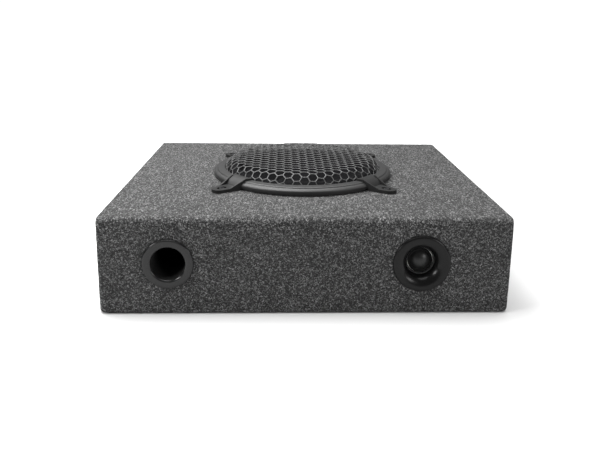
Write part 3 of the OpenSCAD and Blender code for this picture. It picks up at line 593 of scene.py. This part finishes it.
NODE_LOOKS = {
    fibreboard: [
        "top_panel", "bottom_panel", "front_panel", "rear_panel", "left_panel", "right_panel",
        "corner_blocks"],
    foam: ["woofer_gasket", "surround_gasket", "amp_gasket"],
    coated_steel: ["woofer_basket"],
    plated_steel: ["magnet_top_plate", "magnet_yoke", "tweeter_pole_plates"],
    ferrite: ["magnet_ring", "tweeter_magnet"],
    copper: ["voice_coil", "tweeter_voice_coil", "power_inductor"],
    former_metal: ["voice_coil_former"],
    ivory_nylon: ["woofer_terminals"],
    screw_steel: ["woofer_screws"],
    bore_plastic: ["port_tube"],
    black_plastic: ["tweeter_lock_nut"],
    blue_film: ["tweeter_capacitor"],
    red_jacket: ["woofer_leads", "tweeter_leads"],
    solder_mask: ["amp_circuit_board"],
    gold_plate: ["amp_standoffs"],
    can_sleeve: ["supply_capacitors"],
    control_case: ["potentiometers"],
}


def dress_frame():
    for material, nodes in NODE_LOOKS.items():
        for name in nodes:
            mesh = frame["nodes"][name].data
            mesh.materials.clear()
            mesh.materials.append(material)


# ---------------------------------------------------------------- carpet

CARPET_STEP = 2.2 * MM
WOOFER_HOLE_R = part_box("woofer_gasket")[1].x - 9 * MM
PORT_CLEAR_R, TWEETER_CLEAR_R = 24 * MM, 27 * MM
AMP_CLEAR_X, AMP_CLEAR_Z = 16 * MM, 15 * MM
SKIN_DROP = 0.1 * MM  # how far the felt's mean lies under the CAD surface
CORNER_STEPS, TOP_EDGE_STEPS, BOTTOM_EDGE_STEPS = 8, 7, 4
TOP_EDGE_R = 8 * MM
SIDE_EDGE_R = 1.2 * MM
BOTTOM_EDGE_R = 3.5 * MM
CORNER_TOP_R, CORNER_BOTTOM_R = 3 * MM, 10 * MM


def rounded_outline(half_x, half_y, radius, along_x, along_y, along_corner):
    """Points round a rectangle with round corners, the same number for any size, from the front left."""
    corners = [(-1, -1, 180), (1, -1, 270), (1, 1, 0), (-1, 1, 90)]
    points = []
    for i, (sx, sy, start) in enumerate(corners):
        cx, cy = sx * (half_x - radius), sy * (half_y - radius)
        for k in range(along_corner + 1):
            angle = math.radians(start + 90 * k / along_corner)
            points.append((cx + radius * math.cos(angle), cy + radius * math.sin(angle)))
        count = along_x if i % 2 == 0 else along_y
        nx, ny, next_start = corners[(i + 1) % 4]
        ex = nx * (half_x - radius) + radius * math.cos(math.radians(next_start))
        ey = ny * (half_y - radius) + radius * math.sin(math.radians(next_start))
        px, py = points[-1]
        for k in range(1, count):
            t = k / count
            points.append((px + (ex - px) * t, py + (ey - py) * t))
    return points


def edge_inset(z, radius_top, radius_bottom):
    """How far a rounded edge stands in from the wall at a height."""
    if z > BOX_H - radius_top:
        return radius_top - math.sqrt(max(0.0, radius_top**2 - (z - BOX_H + radius_top) ** 2))
    if z < radius_bottom:
        return radius_bottom - math.sqrt(max(0.0, radius_bottom**2 - (radius_bottom - z) ** 2))
    return 0.0


def felt_height(p):
    """Lie of the felt at a point: soft lumps and a little tangle."""
    lumps = noise.noise(Vector(p) / (6 * MM)) * 0.22
    tangle = noise.noise(Vector(p) / (1.9 * MM)) * 0.20
    return (lumps + tangle) * MM


def in_an_opening(mid):
    """Whether a point of the skin lies over the port, the tweeter or the amplifier's cut-out."""
    if mid.y < -HALF_D + 2 * MM:
        places = ((PORT_C, PORT_CLEAR_R), (TWEETER_C, TWEETER_CLEAR_R))
        return any(math.hypot(mid.x - c.x, mid.z - c.z) < reach for c, reach in places)
    if mid.y < HALF_D - 2 * MM:
        return False
    lo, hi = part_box("amp_gasket")
    inside_x = lo.x + AMP_CLEAR_X < mid.x < hi.x - AMP_CLEAR_X
    return inside_x and lo.z + AMP_CLEAR_Z < mid.z < hi.z - AMP_CLEAR_Z


def skin_heights():
    """Heights of the rings of points up the walls, closer together round the bottom and top edges."""
    quarter = math.pi / 2
    steps = round((BOX_H - TOP_EDGE_R) / CARPET_STEP)
    wall = BOX_H - TOP_EDGE_R - BOTTOM_EDGE_R
    low = [BOTTOM_EDGE_R * (1 - math.cos(quarter * k / BOTTOM_EDGE_STEPS)) for k in range(BOTTOM_EDGE_STEPS)]
    middle = [BOTTOM_EDGE_R + wall * k / steps for k in range(steps)]
    top = [
        BOX_H - TOP_EDGE_R + TOP_EDGE_R * math.sin(quarter * k / TOP_EDGE_STEPS)
        for k in range(TOP_EDGE_STEPS + 1)
    ]
    return low + middle + top


def skin_rings(along_x, along_y):
    """Rings of points up the walls, then over the top towards the edge of the woofer's hole."""
    rings = []
    for z in skin_heights():
        share = min(1.0, max(0.0, z / BOX_H))
        corner = CORNER_BOTTOM_R + (CORNER_TOP_R - CORNER_BOTTOM_R) * share**0.5
        inset_y = edge_inset(z, TOP_EDGE_R, BOTTOM_EDGE_R)
        inset_x = edge_inset(z, SIDE_EDGE_R, BOTTOM_EDGE_R)
        half_x, half_y = HALF_W - inset_x, HALF_D - inset_y
        outline = rounded_outline(half_x, half_y, corner, along_x, along_y, CORNER_STEPS)
        rings.append([(x, y, z) for x, y in outline])
    rim = rings[-1]
    top_steps = round((HALF_D - WOOFER_HOLE_R) / CARPET_STEP)
    for k in range(1, top_steps + 1):
        t = k / top_steps
        ring = []
        for x, y, z in rim:
            far = math.hypot(x, y)
            ring.append((x + (x / far * WOOFER_HOLE_R - x) * t, y + (y / far * WOOFER_HOLE_R - y) * t, z))
        rings.append(ring)
    return rings


def raise_felt(skin):
    """Give the smooth skin the felt's lumps and tangle, and keep it off the floor."""
    mesh = skin.data
    places = np.array([v.co for v in mesh.vertices])
    normals = np.array([v.normal for v in mesh.vertices])
    lift = np.array([felt_height(p) for p in places])
    places += normals * (lift - SKIN_DROP)[:, None]
    places[:, 2] = np.maximum(places[:, 2], 0.0)
    mesh.vertices.foreach_set("co", places.ravel())
    mesh.update()


def make_carpet():
    """Felt over the front, top, rear and sides in one skin, open where something passes through."""
    along_x, along_y = round(2 * HALF_W / CARPET_STEP), round(2 * HALF_D / CARPET_STEP)
    rings = skin_rings(along_x, along_y)
    count = len(rings[0])
    points = [p for ring in rings for p in ring]
    faces = []
    for r in range(len(rings) - 1):
        for i in range(count):
            j = (i + 1) % count
            face = (r * count + i, r * count + j, (r + 1) * count + j, (r + 1) * count + i)
            mid = sum((Vector(points[v]) for v in face), Vector()) / 4
            if not in_an_opening(mid):
                faces.append(face)
    skin = mesh_object("carpet_skin", points, faces, carpet, body=None)
    tidy_mesh(skin)
    raise_felt(skin)
    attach(skin, "cabinet")
    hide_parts("carpet_wrap", "carpet_sides")
    make_underside(along_x // 3, along_y // 3)


def make_underside(along_x, along_y):
    """The sheet under the box, a little inside the skin's lower edge."""
    inset, flat_z, corner_steps, ring_count = 2.5 * MM, 0.2 * MM, 6, 40
    half_x, half_y = HALF_W - inset, HALF_D - inset
    outline = rounded_outline(half_x, half_y, CORNER_BOTTOM_R, along_x, along_y, corner_steps)
    count = len(outline)
    rings = [[(x, y, inset) for x, y in outline]]
    for k in range(ring_count):
        share = 1 - k / ring_count
        rings.append([(x * share, y * share, flat_z) for x, y in outline])
    points = [p for ring in rings for p in ring]
    faces = [
        (r * count + i, (r + 1) * count + i, (r + 1) * count + (i + 1) % count, r * count + (i + 1) % count)
        for r in range(len(rings) - 1)
        for i in range(count)
    ]
    faces.append([(len(rings) - 1) * count + i for i in range(count)])
    sheet = mesh_object("carpet_underside", points, faces, carpet, body=None)
    tidy_mesh(sheet)
    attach(sheet, "cabinet")
    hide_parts("carpet_base")


# ---------------------------------------------------------------- grille

CELL_SIDE = 7.5 * MM
WIRE_W = 1.5 * MM
WIRE_T = 1.2 * MM


def sheet_line():
    """Points from the middle of the grille's crown to its hem, with the distance along them."""
    shoulder_r, crown_rise = MESH_R - 15.4 * MM, 1.5 * MM
    crown = [(r, DOME_TOP - crown_rise * (r / shoulder_r) ** 2) for r in np.linspace(0, shoulder_r, 24)]
    skirt = [(10.4, 3.2), (5.9, 7.0), (1.3, 11.5), (0.1, 15.0), (0.1, 18.5)]
    skirt = [(MESH_R - inset * MM, DOME_TOP - drop * MM) for inset, drop in skirt]
    line = smooth_profile(crown + skirt, 1 * MM, closed=False)
    along = np.concatenate([[0], np.cumsum([math.dist(a, b) for a, b in zip(line, line[1:])])])
    return np.array(line), along


def make_grille_sheet():
    """Six-sided cells laid over the crown and skirt: each bar is rounded on top and underneath."""
    line, along = sheet_line()
    length = along[-1]

    def place(x, y, depth):
        far = min(math.hypot(x, y), length)
        angle = math.atan2(y, x)
        r = np.interp(far, along, line[:, 0])
        z = np.interp(far, along, line[:, 1])
        near = max(far - 0.5 * MM, 0), min(far + 0.5 * MM, length)
        dr = np.interp(near[1], along, line[:, 0]) - np.interp(near[0], along, line[:, 0])
        dz = np.interp(near[1], along, line[:, 1]) - np.interp(near[0], along, line[:, 1])
        size = math.hypot(dr, dz)
        r += depth * dz / size
        z -= depth * dr / size
        return (r * math.cos(angle), r * math.sin(angle), z)

    half_web = WIRE_W / 2
    section = [(0.0, 0.0), (0.55, 0.10), (1.0, 0.5), (0.55, 0.90), (0.0, 1.0)]
    points, faces = [], []
    column, row = 1.5 * CELL_SIDE, math.sqrt(3) * CELL_SIDE
    reach = math.ceil(length / column) + 1
    for i in range(-reach, reach + 1):
        for j in range(-reach, reach + 1):
            cx, cy = i * column, (j + (i % 2) / 2) * row
            if math.hypot(cx, cy) > length + CELL_SIDE * 0.3:
                continue
            start = len(points)
            for share, depth in section:
                size = CELL_SIDE - share * half_web * 2 / math.sqrt(3)
                for k in range(6):
                    a = math.radians(60 * k)
                    points.append(place(cx + size * math.cos(a), cy + size * math.sin(a), depth * WIRE_T))
            for s in range(len(section) - 1):
                for k in range(6):
                    n = (k + 1) % 6
                    low, high = start + 6 * s, start + 6 * s + 6
                    faces.append((low + k, low + n, high + n, high + k))
    wires = mesh_object("grille_mesh_wires", points, faces, mesh_coat, body=None)
    tidy_mesh(wires)
    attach(wires, "cabinet")
    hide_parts("grille_mesh")


def make_ring():
    """Flat top, a fine step, a slope and an upright outer wall that stands clear of the carpet."""
    inner = MESH_R + 0.1 * MM
    outside = [(1.7, 7.0), (1.7, 2.5), (0, 2.5), (0, 6.2), (0.5, 7.3), (2.4, 8.9), (4.6, 9.6), (5.0, 9.75),
               (5.5, 10.9), (6.6, 11.35)]
    profile = [(inner, 7.0 * MM), *[(RING_R - inset * MM, h * MM) for inset, h in outside],
               (inner + 2 * MM, 12.2 * MM), (inner, 11.8 * MM)]
    ring = lathe("grille_trim_ring", fillet(profile, 0.35 * MM, 3), ring_plastic, (0, 0, BOX_H), turns=256)
    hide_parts("grille_ring")


# ---------------------------------------------------------------- woofer

ROLL_R = 10 * MM
RUBBER_T = 1.2 * MM


def shell(foot_r, rise, wall):
    """Profile of a thin round cap: its outside from the middle to the foot, and its inside back again."""
    ball = (foot_r**2 + rise**2) / (2 * rise)
    angles = np.linspace(0.0001, math.asin(foot_r / ball), 28)
    outside = [(ball * math.sin(a), rise - ball * (1 - math.cos(a))) for a in angles]
    return outside + [(r, h - wall) for r, h in reversed(outside)]


def make_woofer():
    """Cone, dust cap, rubber edge and spider; the last two are taken off their body and kept where they are.
    """
    rim = CONE_R / MM
    cone = [
        (rim, -1.5), (rim, 0), (rim - 7.5, -0.1), (60, -10.2), (27, -25), (25.1, -25), (25.1, -29), (27, -29),
        (27.7, -26.8), (60.4, -12), (rim - 6.9, -1.5)]
    profile = fillet([(r * MM, h * MM) for r, h in cone], 1.5 * MM, 4)
    at = (0, 0, CONE_TOP)
    piece = lathe("woofer_cone_paper", profile, cone_paper, at, body="woofer_diaphragm", turns=192)
    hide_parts("woofer_cone")

    cap = lathe("woofer_dust_cap", shell(CAP_HI.x, CAP_HI.z - CAP_LO.z, 1 * MM), cone_paper,
                (0, 0, CAP_LO.z), body="woofer_diaphragm", turns=128)
    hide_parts("dust_cap")

    roll_mid = CONE_R + ROLL_R
    crest = [(roll_mid - ROLL_R * math.cos(a), ROLL_R * math.sin(a)) for a in np.linspace(0.12, 3.02, 28)]
    under_r = ROLL_R - RUBBER_T
    hollow = [(roll_mid + under_r * math.cos(a), under_r * math.sin(a)) for a in np.linspace(0, math.pi, 28)]
    land_r = CONE_R - 6.5 * MM
    profile = [(land_r, 0), (land_r, RUBBER_T), *crest, (SURROUND_R, RUBBER_T), (SURROUND_R, 0), *hollow]
    edge = lathe("woofer_rubber_edge", profile, rubber, (0, 0, SURROUND_LO), turns=192)
    stretch(edge)
    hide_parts("woofer_surround")

    neck_r, rim_r, cloth_t = 25.1 * MM, 64.9 * MM, 0.8 * MM
    waves = [(28 * MM + 30 * MM * t, 1.6 * MM * math.sin(9 * math.pi * t)) for t in np.linspace(0, 1, 73)]
    top = [(neck_r, cloth_t), *[(r, h + cloth_t) for r, h in waves], (rim_r, cloth_t)]
    low = [(rim_r, 0), *reversed(waves), (neck_r, 0)]
    at = (0, 0, (SPIDER_LO.z + SPIDER_HI.z - cloth_t) / 2)
    disc = lathe("woofer_spider_disc", top + low, spider_cloth, at, turns=128)
    stretch(disc)
    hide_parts("spider")


def stretch(piece):
    """Take the piece off its body and bake its place into its points."""
    world = piece.matrix_world.copy()
    piece.parent = None
    piece.matrix_world = world
    if "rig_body" in piece:
        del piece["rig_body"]
    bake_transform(piece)


# ---------------------------------------------------------------- port and tweeter


def make_port():
    """Flange with a quarter-round lip that runs into the neck."""
    at = (PORT_C.x, -HALF_D, PORT_C.z)
    bore = 20.25
    rim = PORT_FLANGE_R / MM
    face, lip_r = 2.8, 3.2
    bends = [math.radians(angle) for angle in range(0, 91, 6)]
    lip = [(bore + lip_r * (1 - math.sin(a)), face - lip_r * (1 - math.cos(a))) for a in bends]
    neck = [(bore, -40), (bore + 2.2, -40), (bore + 2.2, 0)]
    profile = [(rim, 0), (rim, 1.6), (rim - 0.3, 2.2), (rim - 1.0, 2.5), (rim - 2.4, 2.7), *lip, *neck]
    profile = [(r * MM, h * MM) for r, h in profile]
    flange = lathe("port_front_flange", profile, port_plastic, at, "front", turns=192)
    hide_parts("port_flange")


def make_tweeter():
    """Round-lipped horn plate, the thin ring in its throat, and the silk dome with its rolled edge."""
    at = (TWEETER_C.x, -HALF_D, TWEETER_C.z)
    rim = TWEETER_R / MM
    lip_start, lip_r, face = rim - 3.5, 14.2, 2.7
    bends = np.linspace(0, math.radians(74), 26)
    horn = [(lip_start - lip_r * math.sin(a), face - lip_r * (1 - math.cos(a))) for a in bends]
    barrel = [(17.6, -10.2), (17.6, -12), (22.6, -12), (22.6, -30), (25.5, -30), (25.5, 0)]
    profile = [(rim, 0), (rim, 1.3), (rim - 0.4, 1.9), (rim - 1.4, 2.4), *horn, *barrel]
    at_size = [(r * MM, h * MM) for r, h in profile]
    plate = lathe("tweeter_horn_plate", at_size, horn_plastic, at, "front", turns=192)
    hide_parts("tweeter_faceplate")

    trim = [(17.45, -11.8), (17.45, -10.5), (17.2, -10.2), (16.8, -10.2), (16.6, -10.5), (15.9, -11.8)]
    profile = fillet([(r * MM, h * MM) for r, h in trim], 0.2 * MM, 2)
    ring = lathe("tweeter_throat_ring", profile, trim_metal, at, "front", turns=160)
    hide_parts("tweeter_trim_ring")

    foot, wall = (-HALF_D - DOME_FOOT_Y) / MM, 0.4
    cap = shell(12.5, 6.2, wall)
    cap = [(r, foot + h) for r, h in cap[: len(cap) // 2]]
    roll = [(13.7 - 1.2 * math.cos(a), foot + 0.3 * math.sin(a)) for a in np.linspace(0.2, math.pi, 12)]
    top = cap + roll + [(15.4, foot)]
    low = [(r, h - wall) for r, h in reversed(top)]
    at_size = [(r * MM, h * MM) for r, h in top + low]
    dome = lathe("tweeter_silk_dome", at_size, silk, at, "front", "tweeter_diaphragm")
    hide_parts("tweeter_dome")


# ---------------------------------------------------------------- bevelled hardware

REFINED = [
    ("grille_clamps", black_plastic, 0.5, "cabinet"),
    ("clamp_screws", screw_steel, 0.2, "cabinet"),
    ("amp_panel", panel_steel, 0.5, "cabinet"),
    ("amp_heatsink", anodised, 0.35, "cabinet"),
    ("amp_screws", screw_steel, 0.2, "cabinet"),
    ("gain_knob", black_plastic, 0.3, "gain_control"),
    ("crossover_knob", black_plastic, 0.3, "crossover_control"),
    ("bass_knob", black_plastic, 0.3, "bass_control"),
    ("phase_switch_body", plated_steel, 0.2, "cabinet"),
    ("phase_switch_lever", black_plastic, 0.25, "phase_control"),
    ("rca_jacks", bright_metal, 0.2, "cabinet"),
    ("harness_socket", ivory_nylon, 0.2, "cabinet"),
    ("fuse_holder", black_plastic, 0.3, "cabinet"),
    ("fuse", amber, 0.4, "cabinet"),
    ("power_led", lens_blue, 0.15, "cabinet"),
]


def make_tinsel():
    """The woofer's braids between the terminal block and the cone's back: a copy of their node, taken off its
    body and kept where it is.
    """
    piece = refine("tinsel_leads", braid, 0.05)
    piece.modifiers.clear()
    world = piece.matrix_world.copy()
    piece.parent = None
    piece.matrix_world = world
    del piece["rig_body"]
    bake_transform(piece)


make_camera()
make_studio()
dress_frame()
make_carpet()
make_grille_sheet()
make_ring()
make_woofer()
make_port()
make_tweeter()
for node, material, width, body in REFINED:
    refine(node, material, width * MM, body=body)
make_tinsel()
